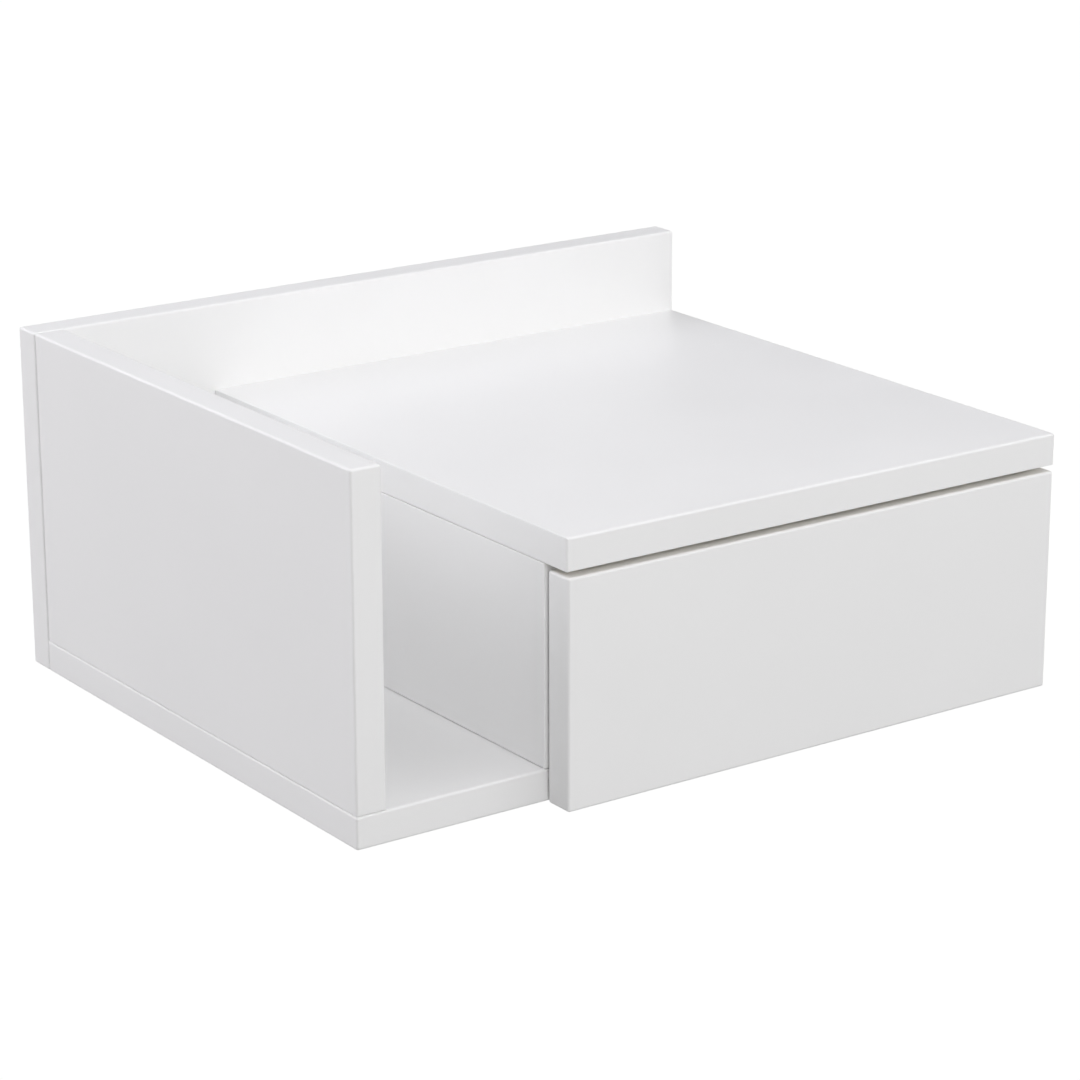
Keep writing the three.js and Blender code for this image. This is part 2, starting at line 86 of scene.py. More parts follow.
def add(tree, kind, settings=None, links=None):
    """Adds a node. A setting's key is an input socket, by name or number, or else a property."""
    node = tree.nodes.new(kind)
    for key, value in (settings or {}).items():
        if isinstance(key, int) or key in node.inputs:
            node.inputs[key].default_value = value
        else:
            setattr(node, key, value)
    for key, source in (links or {}).items():
        tree.links.new(source, node.inputs[key])
    return node


def bare_material(name):
    """A material whose tree holds nothing yet but the place on the object, in metres."""
    material = bpy.data.materials.new(name)
    material.use_nodes = True
    material.node_tree.nodes.clear()
    place = add(material.node_tree, "ShaderNodeTexCoord").outputs["Object"]
    return material, material.node_tree, place


print("mid grey 808080 is", round(linear("808080")[0], 3), "in linear light")

# %% [markdown]
# ## The camera
# The view is the one that the boards' edges were measured in: from the left, a little above, and through a
# long lens from about 1.6 m. A long lens keeps the edges of the boards almost parallel, as a catalogue
# picture wants. The lens isn't shifted, so other views of the same camera stay centred.

# %% Set up the camera
SENSOR_WIDTH = 36
LENS = 117.52
CAMERA_PLACE = (-0.9015, -1.4408, 0.4829)
CAMERA_RIGHT = Vector((0.8179, -0.5754, -0.0021))
CAMERA_BACK = Vector((-0.5479, -0.7799, 0.3025))
camera = bpy.data.objects.new("camera", bpy.data.cameras.new("camera"))
bpy.context.scene.collection.objects.link(camera)
camera.data.sensor_width = SENSOR_WIDTH
camera.data.lens = LENS
back = CAMERA_BACK.normalized()
up = back.cross(CAMERA_RIGHT).normalized()
turn = Matrix((up.cross(back), up, back)).transposed().to_4x4()
camera.matrix_world = Matrix.Translation(CAMERA_PLACE) @ turn
bpy.context.scene.camera = camera
print("camera", round((camera.location - sum(cad_box, Vector()) / 2).length, 2), "m from the middle")

# %% [markdown]
# ## Satin lacquer on MDF
# The boards are MDF, primed and sprayed with a satin polyurethane lacquer. Close up such a film has
# orange peel: soft waves a few millimetres long and some hundredths high, left by the spray. Where an
# arris was sanded and sprayed over, the film is thinner, a little greyer and less smooth. The waves go into
# the bump, slow clouds go into roughness and colour, and the arris reads an attribute that the boards carry.

# %% Material: satin lacquer
satin_lacquer, tree, place = bare_material("satin_lacquer")
cloud = add(tree, "ShaderNodeTexNoise", {"Scale": 1 / (55 * MM), "Detail": 2.0}, {"Vector": place})
peel = add(tree, "ShaderNodeTexNoise", {"Scale": 1 / (2.6 * MM), "Detail": 1.5}, {"Vector": place})
nib = add(tree, "ShaderNodeTexNoise", {"Scale": 1 / (0.7 * MM), "Detail": 1.0}, {"Vector": place})
arris = add(tree, "ShaderNodeAttribute", {"attribute_name": "arris"})
film = add(tree, "ShaderNodeMix", {"data_type": "RGBA", A: linear("f5f5f5"), B: linear("f7f7f7")},
           {0: cloud.outputs["Fac"]})
thin = add(tree, "ShaderNodeMath", {"operation": "MULTIPLY", 1: 0.35}, {0: arris.outputs["Fac"]})
tone = add(tree, "ShaderNodeMix", {"data_type": "RGBA", B: linear("f3f3f2")},
           {0: thin.outputs[0], A: film.outputs[MIXED]})
gloss = add(tree, "ShaderNodeMapRange", {"From Min": 0.3, "From Max": 0.7, "To Min": 0.4, "To Max": 0.47},
            {"Value": cloud.outputs["Fac"]})
rough = add(tree, "ShaderNodeMath", {"operation": "MULTIPLY_ADD", 1: 0.06},
            {0: arris.outputs["Fac"], 2: gloss.outputs[0]})
waves = add(tree, "ShaderNodeBump", {"Distance": 0.012 * MM}, {"Height": peel.outputs["Fac"]})
grit = add(tree, "ShaderNodeBump", {"Distance": 0.0015 * MM},
           {"Height": nib.outputs["Fac"], "Normal": waves.outputs[0]})
skin = add(tree, "ShaderNodeBsdfPrincipled", {"IOR": 1.5},
           {"Base Color": tone.outputs[MIXED], "Roughness": rough.outputs[0], "Normal": grit.outputs[0]})
add(tree, "ShaderNodeOutputMaterial", links={"Surface": skin.outputs[0]})
print("orange peel is 2.6 mm long and 0.012 mm high")

# %% [markdown]
# ## Primer on MDF
# The underside of the top is never seen, so it's only primed. A primer is matt and thin: the brown fibre
# shows through as a warm, cloudy white. The eye meets it in one place, in the slit over the drawer, and its
# tone is kept darker and warmer than the lacquer as painted shade for that slit: the light that comes back out
# has touched it and is darker and warmer than on the boards.

# %% Material: primer, with painted shade
primed_mdf, tree, place = bare_material("primed_mdf")
soak = add(tree, "ShaderNodeTexNoise", {"Scale": 1 / (18 * MM), "Detail": 3.0}, {"Vector": place})
fibre = add(tree, "ShaderNodeTexNoise", {"Scale": 1 / (0.9 * MM), "Detail": 3.0}, {"Vector": place})
# The primer's two tones are darker and warmer than the lacquer: painted shade for the slit over the drawer.
tone = add(tree, "ShaderNodeMix", {"data_type": "RGBA", A: linear("eee8da"), B: linear("f3eee2")},
           {0: soak.outputs["Fac"]})
rough = add(tree, "ShaderNodeMapRange", {"To Min": 0.62, "To Max": 0.78}, {"Value": fibre.outputs["Fac"]})
nap = add(tree, "ShaderNodeBump", {"Distance": 0.02 * MM}, {"Height": fibre.outputs["Fac"]})
skin = add(tree, "ShaderNodeBsdfPrincipled", {"IOR": 1.47},
           {"Base Color": tone.outputs[MIXED], "Roughness": rough.outputs[0], "Normal": nap.outputs[0]})
add(tree, "ShaderNodeOutputMaterial", links={"Surface": skin.outputs[0]})
print("the primer is cloudy over 18 mm")

# %% [markdown]
# ## Foil on chipboard
# The drawer's box isn't sprayed. Its boards are chipboard wrapped in a printed white foil, which is matter
# than lacquer, slightly warmer, and embossed with a fine dead grain. The chips show through very faintly as
# a restless surface.

# %% Material: white foil
white_foil, tree, place = bare_material("white_foil")
chips = add(tree, "ShaderNodeTexVoronoi", {"Scale": 1 / (3.5 * MM), "Randomness": 1.0}, {"Vector": place})
emboss = add(tree, "ShaderNodeTexNoise", {"Scale": 1 / (0.9 * MM), "Detail": 2.0}, {"Vector": place})
drift = add(tree, "ShaderNodeTexNoise", {"Scale": 1 / (80 * MM), "Detail": 1.0}, {"Vector": place})
tone = add(tree, "ShaderNodeMix", {"data_type": "RGBA", A: linear("e4e2df"), B: linear("eae8e5")},
           {0: drift.outputs["Fac"]})
rough = add(tree, "ShaderNodeMapRange", {"To Min": 0.46, "To Max": 0.56}, {"Value": emboss.outputs["Fac"]})
print_through = add(tree, "ShaderNodeBump", {"Distance": 0.006 * MM}, {"Height": chips.outputs["Distance"]})
grain = add(tree, "ShaderNodeBump", {"Distance": 0.02 * MM},
            {"Height": emboss.outputs["Fac"], "Normal": print_through.outputs[0]})
skin = add(tree, "ShaderNodeBsdfPrincipled", {"IOR": 1.48},
           {"Base Color": tone.outputs[MIXED], "Roughness": rough.outputs[0], "Normal": grain.outputs[0]})
add(tree, "ShaderNodeOutputMaterial", links={"Surface": skin.outputs[0]})
print("the emboss is 0.9 mm long and 0.02 mm deep")

# %% [markdown]
# ## Hardboard, painted on one face
# The drawer's bottom is 3 mm hardboard. It's pressed from wood fibres, painted white on the upper face and
# left brown underneath and on its edges. One material for each side says that more plainly than a mask.

# %% Materials: the two sides of the hardboard
painted_hardboard, tree, place = bare_material("painted_hardboard")
fibres = add(tree, "ShaderNodeTexNoise", {"Scale": 1 / (1.4 * MM), "Detail": 3.0}, {"Vector": place})
tone = add(tree, "ShaderNodeMix", {"data_type": "RGBA", A: linear("dfdcd7"), B: linear("e8e5e0")},
           {0: fibres.outputs["Fac"]})
rough = add(tree, "ShaderNodeMapRange", {"To Min": 0.42, "To Max": 0.58}, {"Value": fibres.outputs["Fac"]})
press = add(tree, "ShaderNodeBump", {"Distance": 0.015 * MM}, {"Height": fibres.outputs["Fac"]})
skin = add(tree, "ShaderNodeBsdfPrincipled", {"IOR": 1.48},
           {"Base Color": tone.outputs[MIXED], "Roughness": rough.outputs[0], "Normal": press.outputs[0]})
add(tree, "ShaderNodeOutputMaterial", links={"Surface": skin.outputs[0]})

raw_hardboard, tree, place = bare_material("raw_hardboard")
shives = add(tree, "ShaderNodeTexNoise", {"Scale": 1 / (2.2 * MM), "Detail": 5.0, "Distortion": 1.2},
             {"Vector": place})
tone = add(tree, "ShaderNodeMix", {"data_type": "RGBA", A: linear("7a5536"), B: linear("a07a52")},
           {0: shives.outputs["Fac"]})
fuzz = add(tree, "ShaderNodeBump", {"Distance": 0.05 * MM}, {"Height": shives.outputs["Fac"]})
skin = add(tree, "ShaderNodeBsdfPrincipled", {"Roughness": 0.8, "IOR": 1.45},
           {"Base Color": tone.outputs[MIXED], "Normal": fuzz.outputs[0]})
add(tree, "ShaderNodeOutputMaterial", links={"Surface": skin.outputs[0]})
print("two sides of one board:", painted_hardboard.name, "and", raw_hardboard.name)

# %% [markdown]
# ## Enamelled steel
# The runners are 1.2 mm sheet steel, punched, folded and then coated with white epoxy enamel. The coat is
# thick and glossy, with a coarser orange peel than lacquer, and it thins to a grey line over sheared edges.

# %% Material: white enamel
white_enamel, tree, place = bare_material("white_enamel")
peel = add(tree, "ShaderNodeTexNoise", {"Scale": 1 / (1.5 * MM), "Detail": 1.0}, {"Vector": place})
drift = add(tree, "ShaderNodeTexNoise", {"Scale": 1 / (25 * MM), "Detail": 2.0}, {"Vector": place})
arris = add(tree, "ShaderNodeAttribute", {"attribute_name": "arris"})
coat = add(tree, "ShaderNodeMix", {"data_type": "RGBA", A: linear("dcdddd"), B: linear("e6e7e7")},
           {0: drift.outputs["Fac"]})
thin = add(tree, "ShaderNodeMath", {"operation": "MULTIPLY", 1: 0.5}, {0: arris.outputs["Fac"]})
tone = add(tree, "ShaderNodeMix", {"data_type": "RGBA", B: linear("b4b6b7")},
           {0: thin.outputs[0], A: coat.outputs[MIXED]})
rough = add(tree, "ShaderNodeMapRange", {"To Min": 0.24, "To Max": 0.36}, {"Value": drift.outputs["Fac"]})
waves = add(tree, "ShaderNodeBump", {"Distance": 0.02 * MM}, {"Height": peel.outputs["Fac"]})
skin = add(tree, "ShaderNodeBsdfPrincipled", {"IOR": 1.52},
           {"Base Color": tone.outputs[MIXED], "Roughness": rough.outputs[0], "Normal": waves.outputs[0]})
add(tree, "ShaderNodeOutputMaterial", links={"Surface": skin.outputs[0]})
print("the enamel's peel is 1.5 mm long and 0.02 mm high")

# %% [markdown]
# ## Natural nylon
# The rollers are injection moulded from uncoloured nylon, which is milky: light enters it and leaves a
# little further on. A short subsurface distance gives that soft edge, and a fine matt texture is what the
# mould left.

# %% Material: natural nylon
natural_nylon, tree, place = bare_material("natural_nylon")
spark = add(tree, "ShaderNodeTexNoise", {"Scale": 1 / (0.5 * MM), "Detail": 2.0}, {"Vector": place})
milk = add(tree, "ShaderNodeTexNoise", {"Scale": 1 / (6 * MM), "Detail": 1.0}, {"Vector": place})
tone = add(tree, "ShaderNodeMix", {"data_type": "RGBA", A: linear("dedacb"), B: linear("ebe8dd")},
           {0: milk.outputs["Fac"]})
rough = add(tree, "ShaderNodeMapRange", {"To Min": 0.4, "To Max": 0.55}, {"Value": spark.outputs["Fac"]})
matt = add(tree, "ShaderNodeBump", {"Distance": 0.008 * MM}, {"Height": spark.outputs["Fac"]})
skin = add(tree, "ShaderNodeBsdfPrincipled",
           {"IOR": 1.53, "Subsurface Weight": 0.25, "Subsurface Radius": (1, 0.9, 0.7),
            "Subsurface Scale": 1.2 * MM},
           {"Base Color": tone.outputs[MIXED], "Roughness": rough.outputs[0], "Normal": matt.outputs[0]})
add(tree, "ShaderNodeOutputMaterial", links={"Surface": skin.outputs[0]})
print("light goes 1.2 mm into the nylon")

# %% [markdown]
# ## Zinc on steel
# Screws and rivets are steel with a thin electroplated zinc coat, passivated clear. It's a dull blue-grey
# metal whose brightness changes from spot to spot, because parts tumble against each other in the barrel. The
# passivation is a hazy film that scatters part of the light, so the shader is mostly but not wholly metal.

# %% Material: zinc plate
zinc_plate, tree, place = bare_material("zinc_plate")
spangle = add(tree, "ShaderNodeTexNoise", {"Scale": 1 / (1.6 * MM), "Detail": 3.0}, {"Vector": place})
dings = add(tree, "ShaderNodeTexVoronoi", {"Scale": 1 / (0.8 * MM), "Randomness": 1.0}, {"Vector": place})
tone = add(tree, "ShaderNodeMix", {"data_type": "RGBA", A: linear("b2b7bc"), B: linear("d4d7d9")},
           {0: spangle.outputs["Fac"]})
rough = add(tree, "ShaderNodeMapRange", {"To Min": 0.25, "To Max": 0.48}, {"Value": spangle.outputs["Fac"]})
dents = add(tree, "ShaderNodeBump", {"Distance": 0.01 * MM}, {"Height": dings.outputs["Distance"]})
skin = add(tree, "ShaderNodeBsdfPrincipled", {"Metallic": 0.7},
           {"Base Color": tone.outputs[MIXED], "Roughness": rough.outputs[0], "Normal": dents.outputs[0]})
add(tree, "ShaderNodeOutputMaterial", links={"Surface": skin.outputs[0]})
print("zinc spots are 1.6 mm across")

# %% [markdown]
# ## Clear polyurethane
# The two pads behind the drawer's front are cast from clear polyurethane, which flows into a low dome. On
# white lacquer such a pad looks like a drop of milky water: it passes some light, is glossy, has a slight
# blue cast and holds a few bubbles. Fully clear it would come out dark, because a path tracer finds few
# ways for light to go through a lens to the board and back.

# %% Material: clear polyurethane
clear_polyurethane, tree, place = bare_material("clear_polyurethane")
seed = add(tree, "ShaderNodeTexVoronoi", {"Scale": 1 / (1.1 * MM), "Randomness": 1.0}, {"Vector": place})
rough = add(tree, "ShaderNodeMapRange", {"To Min": 0.08, "To Max": 0.2}, {"Value": seed.outputs["Distance"]})
bubble = add(tree, "ShaderNodeBump", {"Distance": 0.01 * MM}, {"Height": seed.outputs["Distance"]})
skin = add(tree, "ShaderNodeBsdfPrincipled",
           {"Base Color": linear("e9f0f3"), "IOR": 1.49, "Transmission Weight": 0.25},
           {"Roughness": rough.outputs[0], "Normal": bubble.outputs[0]})
add(tree, "ShaderNodeOutputMaterial", links={"Surface": skin.outputs[0]})
print("bubbles in the pads are 1.1 mm apart")

# %% [markdown]
# ## Beech
# The dowels that hold the top are turned from beech along the grain, so the grain runs up the dowel. Beech
# is pink-brown with short dark flecks a millimetre or two long. Stretching the noise along the dowel's own
# direction, which is upwards, gives both.

# %% Material: beech
plain_beech, tree, place = bare_material("plain_beech")
stretch = add(tree, "ShaderNodeMapping", {"Scale": (1, 1, 0.12)}, {"Vector": place})
grain = add(tree, "ShaderNodeTexNoise", {"Scale": 1 / (0.8 * MM), "Detail": 3.0},
            {"Vector": stretch.outputs[0]})
fleck = add(tree, "ShaderNodeTexVoronoi", {"Scale": 1 / (0.6 * MM), "Randomness": 1.0},
            {"Vector": stretch.outputs[0]})
tone = add(tree, "ShaderNodeMix", {"data_type": "RGBA", A: linear("b98e62"), B: linear("d9b58a")},
           {0: grain.outputs["Fac"]})
mark = add(tree, "ShaderNodeMapRange", {"From Max": 0.25, "To Min": 0.5, "To Max": 0.0},
           {"Value": fleck.outputs["Distance"]})
wood = add(tree, "ShaderNodeMix", {"data_type": "RGBA", B: linear("8a5f3c")},
           {0: mark.outputs[0], A: tone.outputs[MIXED]})
pores = add(tree, "ShaderNodeBump", {"Distance": 0.03 * MM}, {"Height": grain.outputs["Fac"]})
skin = add(tree, "ShaderNodeBsdfPrincipled", {"Roughness": 0.7, "IOR": 1.45},
           {"Base Color": wood.outputs[MIXED], "Normal": pores.outputs[0]})
add(tree, "ShaderNodeOutputMaterial", links={"Surface": skin.outputs[0]})
print("beech grain is drawn 0.8 mm wide")

# %% [markdown]
# ## From modifiers to a plain piece
# Modifiers are a quick way to bevel and to cut, but a finished piece is a plain mesh whose faces know how
# they are shaded. `settle` turns what the modifiers show into the object's own mesh. `crisp` then makes flat
# faces flat and roundings round: every edge sharper than a limit stays sharp, and the rest is smooth. It
# also writes the attribute `arris`, which is 0 on a flat face and 1 at the middle of a rounding.

# %% Helpers that finish a mesh
def settle(piece):
    """Makes the evaluated shape the piece's own mesh and drops its modifiers."""
    graph = bpy.context.evaluated_depsgraph_get()
    mesh = bpy.data.meshes.new_from_object(piece.evaluated_get(graph), depsgraph=graph)
    mesh.name = piece.name
    piece.modifiers.clear()
    piece.data = mesh


def crisp(piece, degrees=35):
    """Shades roundings smooth and flats flat, and writes how rounded each vertex is."""
    mesh = piece.data
    bm = bmesh.new()
    bm.from_mesh(mesh)
    level = bm.verts.layers.float.get("arris") or bm.verts.layers.float.new("arris")
    bm.normal_update()
    for face in bm.faces:
        face.smooth = True
    for edge in bm.edges:
        edge.smooth = edge.calc_face_angle(0.0) < math.radians(degrees)
    for vertex in bm.verts:
        lean = max(abs(part) for part in vertex.normal)
        vertex[level] = min(1.0, (1.0 - lean) / (1.0 - math.sqrt(0.5)))
    bm.to_mesh(mesh)
    bm.free()
    weigh = piece.modifiers.new("weigh", "WEIGHTED_NORMAL")
    weigh.keep_sharp = True
    settle(piece)


def new_piece(name, bm, material=None):
    """An object at the origin with the mesh of bm, which is used up."""
    mesh = bpy.data.meshes.new(name)
    bm.to_mesh(mesh)
    bm.free()
    piece = bpy.data.objects.new(name, mesh)
    bpy.context.scene.collection.objects.link(piece)
    if material:
        mesh.materials.append(material)
    return piece


def cut(piece, cutter):
    """Adds a modifier that takes the cutter's shape out of a piece."""
    cutting = piece.modifiers.new("cut", "BOOLEAN")
    cutting.object = cutter
    cutting.solver = "EXACT"


def seat(piece, body, slot, *stands_for):
    """Makes a finished piece ride on its body in place of the solids that it stands for."""
    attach(piece, body)
    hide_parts(*stands_for)
    print(piece.name, "has", len(piece.data.polygons), "faces and stands for", len(stands_for))


# %% [markdown]
# ## Turned pieces
# Screws, rivets and rollers are round about an axis, so each is one profile spun about Z, as on a lathe.
# The profile is a list of distances from the axis and along it, in millimetres. It starts at the face that
# is seen and goes inwards. Points on the axis fall together, so doubles are merged to close the poles.

# %% A lathe
def lathe(name, profile, facets, material=None):
    """Spins (radius, along) pairs about Z and closes the solid."""
    bm = bmesh.new()
    line = [bm.verts.new((radius * MM, 0, along * MM)) for radius, along in profile]
    edges = [bm.edges.new(pair) for pair in zip(line, line[1:])]
    bmesh.ops.spin(bm, geom=line + edges, axis=(0, 0, 1), cent=(0, 0, 0), angle=2 * math.pi, steps=facets)
    bmesh.ops.remove_doubles(bm, verts=bm.verts, dist=WELD)
    bmesh.ops.recalc_face_normals(bm, faces=bm.faces)
    return new_piece(name, bm, material)


def arc(across, along, radius, start, end, steps=4):
    """Points of a rounding in a lathe's profile, about a centre, between two angles in degrees."""
    angles = [math.radians(start + (end - start) * i / steps) for i in range(steps + 1)]
    return [(across + radius * math.cos(a), along + radius * math.sin(a)) for a in angles]


# %% [markdown]
# ## Screws
# A wood screw is a head with a cross recess and a shank with a spiral thread. The head is turned and the
# recess is cut from it with a tapered cross. The thread follows a rule, so Geometry Nodes make it: a
# triangle swept along a spiral. A second tree sets a screw at each point of a row, along the direction that
# the point carries, and turns each by chance, because nobody lines up the slots.

# %% Helpers that start and end a node tree
def new_tree(name, **inputs):
    """A Geometry Nodes tree with a mesh in and out, and with more inputs of the given names and types."""
    tree = bpy.data.node_groups.new(name, "GeometryNodeTree")
    for label, kind in {"Geometry": "Geometry", **inputs}.items():
        tree.interface.new_socket(label.replace("_", " "), in_out="INPUT", socket_type=f"NodeSocket{kind}")
    tree.interface.new_socket("Geometry", in_out="OUTPUT", socket_type="NodeSocketGeometry")
    return tree, add(tree, "NodeGroupInput").outputs


def end_tree(tree, geometry, material):
    """Ends a tree: instances become real, and the mesh gets its material and goes out."""
    real = add(tree, "GeometryNodeRealizeInstances", links={"Geometry": geometry})
    dressed = add(tree, "GeometryNodeSetMaterial",
                  links={"Geometry": real.outputs[0], "Material": material})
    add(tree, "NodeGroupOutput", links={"Geometry": dressed.outputs[0]})
    print(tree.name, "has", len(tree.nodes), "nodes")


# %% Node tree: a thread
thread_tree, given = new_tree("screw_thread", Core_radius="Float", Ridge="Float", Pitch="Float",
                              Start="Float", Length="Float", Material="Material")
turns = add(thread_tree, "ShaderNodeMath", {"operation": "DIVIDE"}, {0: given["Length"], 1: given["Pitch"]})
spiral = add(thread_tree, "GeometryNodeCurveSpiral", {"Resolution": 14},
             {"Rotations": turns.outputs[0], "Start Radius": given["Core radius"],
              "End Radius": given["Core radius"], "Height": given["Length"]})
ridge = add(thread_tree, "GeometryNodeCurvePrimitiveCircle", {"mode": "RADIUS", "Resolution": 3},
            {"Radius": given["Ridge"]})
sweep = add(thread_tree, "GeometryNodeCurveToMesh", {"Fill Caps": True},
            {"Curve": spiral.outputs[0], "Profile Curve": ridge.outputs[0]})
lift = add(thread_tree, "ShaderNodeCombineXYZ", links={"Z": given["Start"]})
moved = add(thread_tree, "GeometryNodeTransform",
            links={"Geometry": sweep.outputs[0], "Translation": lift.outputs[0]})
both = add(thread_tree, "GeometryNodeJoinGeometry")
thread_tree.links.new(moved.outputs[0], both.inputs[0])
thread_tree.links.new(given["Geometry"], both.inputs[0])
end_tree(thread_tree, both.outputs[0], given["Material"])

# %% Node tree: a row of fasteners
row_tree, given = new_tree("fastener_row", Fastener="Object", Turn="Float", Seed="Int", Material="Material")
shape = add(row_tree, "GeometryNodeObjectInfo", links={"Object": given["Fastener"]})
aim = add(row_tree, "GeometryNodeInputNamedAttribute", {"data_type": "FLOAT_VECTOR", "Name": "aim"})
along = add(row_tree, "FunctionNodeAlignRotationToVector", {"axis": "Z"}, {"Vector": aim.outputs[0]})
LEAST, MOST, DRAWN = 2, 3, 1  # the inputs and the output of Random Value that hold plain numbers
chance = add(row_tree, "FunctionNodeRandomValue", {"data_type": "FLOAT", LEAST: 0.0},
             {MOST: given["Turn"], "Seed": given["Seed"]})
twist = add(row_tree, "FunctionNodeAxisAngleToRotation", {"Axis": (0, 0, 1)},
            {"Angle": chance.outputs[DRAWN]})
stand = add(row_tree, "FunctionNodeRotateRotation", {"rotation_space": "LOCAL"},
            {"Rotation": along.outputs[0], "Rotate By": twist.outputs[0]})
dots = add(row_tree, "GeometryNodeMeshToPoints", links={"Mesh": given["Geometry"]})
spread = add(row_tree, "GeometryNodeInstanceOnPoints",
             links={"Points": dots.outputs[0], "Instance": shape.outputs["Geometry"],
                    "Rotation": stand.outputs[0]})
end_tree(row_tree, spread.outputs[0], given["Material"])


# %% Helpers that run a node tree
def run_tree(piece, tree, **inputs):
    """Runs a tree on a piece with its inputs set by identifier, and keeps the plain mesh that it gives."""
    modifier = piece.modifiers.new(tree.name, "NODES")
    modifier.node_group = tree
    sockets = {s.name: s.identifier for s in tree.interface.items_tree if s.in_out == "INPUT"}
    for label, value in inputs.items():
        modifier[sockets[label.replace("_", " ")]] = value
    settle(piece)


def outer_end(node, direction):
    """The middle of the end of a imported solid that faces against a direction."""
    low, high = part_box(node)
    aim = Vector(direction)
    return (low + high) / 2 - aim * abs((high - low).dot(aim)) / 2


def row_points(names, direction):
    """The outer ends of the named fasteners, each with the direction that they all point in."""
    return [(outer_end(node, direction), Vector(direction)) for node in names]


def place_row(name, points, fastener, material, turn=2 * math.pi, seed=7):
    """One mesh with the fastener at every point, turned along the point's direction."""
    bm = bmesh.new()
    aim = bm.verts.layers.float_vector.new("aim")
    for spot, direction in points:
        bm.verts.new(spot)[aim] = direction
    piece = new_piece(name, bm)
    run_tree(piece, row_tree, Fastener=fastener, Turn=turn, Seed=seed, Material=material)
    return piece


# %% Turn the four kinds of screw
SCREW_FACETS = 24
CORE_SHARE = 0.7
HEAD_LIP = 0.15
HEAD_EDGE = 0.2
NECK = 2.0
NECK_TAPER = 0.6
TIP = 3.0
THREAD_PITCH = 1.9
THREAD_FROM_HEAD = 3.0
THREAD_FROM_TIP = 3.5

# The recess: how far and how wide it goes in the head, as shares of the head's radius, how deep, as a share
# of its height, and how much of its width is left at the bottom.
REACH_SHARE = 0.55
WIDTH_SHARE = 0.11
DEPTH_SHARE = 0.8
TAPER_SHARE = 0.4
ABOVE_FACE = 0.3


def cross_recess(reach, width, depth):
    """A tapered cross that cuts the drive recess of a screw, from just above its face."""
    bm = bmesh.new()
    rim = [(reach, width), (width, width), (width, reach)]
    ring = []
    for quarter in range(4):
        turned = Matrix.Rotation(quarter * math.pi / 2, 2)
        ring += [turned @ Vector(point) for point in rim]
    top = [bm.verts.new((p.x * MM, p.y * MM, -ABOVE_FACE * MM)) for p in ring]
    tip = [bm.verts.new((p.x * TAPER_SHARE * MM, p.y * TAPER_SHARE * MM, depth * MM)) for p in ring]
    bm.faces.new(top)
    bm.faces.new(reversed(tip))
    for i in range(len(ring)):
        j = (i + 1) % len(ring)
        bm.faces.new((top[i], tip[i], tip[j], top[j]))
    bmesh.ops.recalc_face_normals(bm, faces=bm.faces)
    return new_piece("recess_cutter", bm)


def screw(name, length, shank, head, head_height, pan=False):
    """A cross-head screw along +Z. A flat head starts at z = 0, and a pan head stands above it."""
    core = shank * CORE_SHARE
    if pan:
        face = -head_height
        dome = [(head * across, head_height * up) for across, up in arc(0, 0, 1, -90, 0, 8)]
        crown = [(0, face), *dome[1:], (shank, 0)]
    else:
        face = 0.0
        crown = [(0, 0), (head - HEAD_LIP, 0), (head, HEAD_LIP), (head, HEAD_LIP + HEAD_EDGE),
                 (shank, head_height)]
    neck_end = head_height + NECK
    shaft = [(shank, neck_end), (core, neck_end + NECK_TAPER), (core, length - TIP), (0, length)]
    made = lathe(name, crown + shaft, SCREW_FACETS, zinc_plate)
    recess = cross_recess(head * REACH_SHARE, head * WIDTH_SHARE, face + head_height * DEPTH_SHARE)
    cut(made, recess)
    settle(made)
    bpy.data.objects.remove(recess)
    crisp(made)
    start = head_height + THREAD_FROM_HEAD
    run_tree(made, thread_tree, Core_radius=core * MM, Ridge=(shank - core) * MM, Pitch=THREAD_PITCH * MM,
             Start=start * MM, Length=(length - start - THREAD_FROM_TIP) * MM, Material=zinc_plate)
    return made


# The length, the radius of the shank, and the radius and height of the head of each kind, in millimetres.
BOARD_SCREW = (40, 2.0, 4.0, 2.4)
RUNNER_SCREW = (13, 1.7, 3.4, 1.9)
SHELF_SCREW = (10, 1.5, 2.8, 1.5)
FRONT_SCREW = (22, 2.0, 4.2, 2.4)
board_screw = screw("board_screw", *BOARD_SCREW)
runner_screw = screw("runner_screw", *RUNNER_SCREW)
shelf_screw = screw("shelf_screw", *SHELF_SCREW)
front_screw = screw("front_screw", *FRONT_SCREW, pan=True)
print("a board screw has", len(board_screw.data.polygons), "faces")

# %% [markdown]
# ## Where the screws are
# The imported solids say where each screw's head is. The same points, with a plain turned tool in place of
# the screw, drill the holes in the boards.

# %% Rows of screws
def numbered(stem, count):
    """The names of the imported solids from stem_1 to stem_count."""
    return [f"{stem}_{i}" for i in range(1, count + 1)]


back_screws = numbered("back_screw", 9)
base_screws = numbered("base_screw", 6)
channel_screws = {side: numbered(f"{side}_cabinet_runner_screw", 2) for side in ("left", "right")}
angle_screws = numbered("left_drawer_runner_screw", 2) + numbered("right_drawer_runner_screw", 2)
front_screws = numbered("drawer_front_screw", 4)
dowels = numbered("top_dowel", 4)
back_row = row_points(back_screws, (0, -1, 0))
base_row = row_points(base_screws, (0, 0, 1))
channel_row = row_points(channel_screws["left"], (-1, 0, 0)) + row_points(channel_screws["right"], (1, 0, 0))
angle_row = row_points(angle_screws, (0, 0, 1))
dowel_row = row_points(dowels, (0, 0, 1))

# A pan head lies on the board, so its shank starts one head's height further in.
front_row = row_points(front_screws, (0, -1, 0))
front_row = [(spot + aim * FRONT_SCREW[-1] * MM, aim) for spot, aim in front_row]

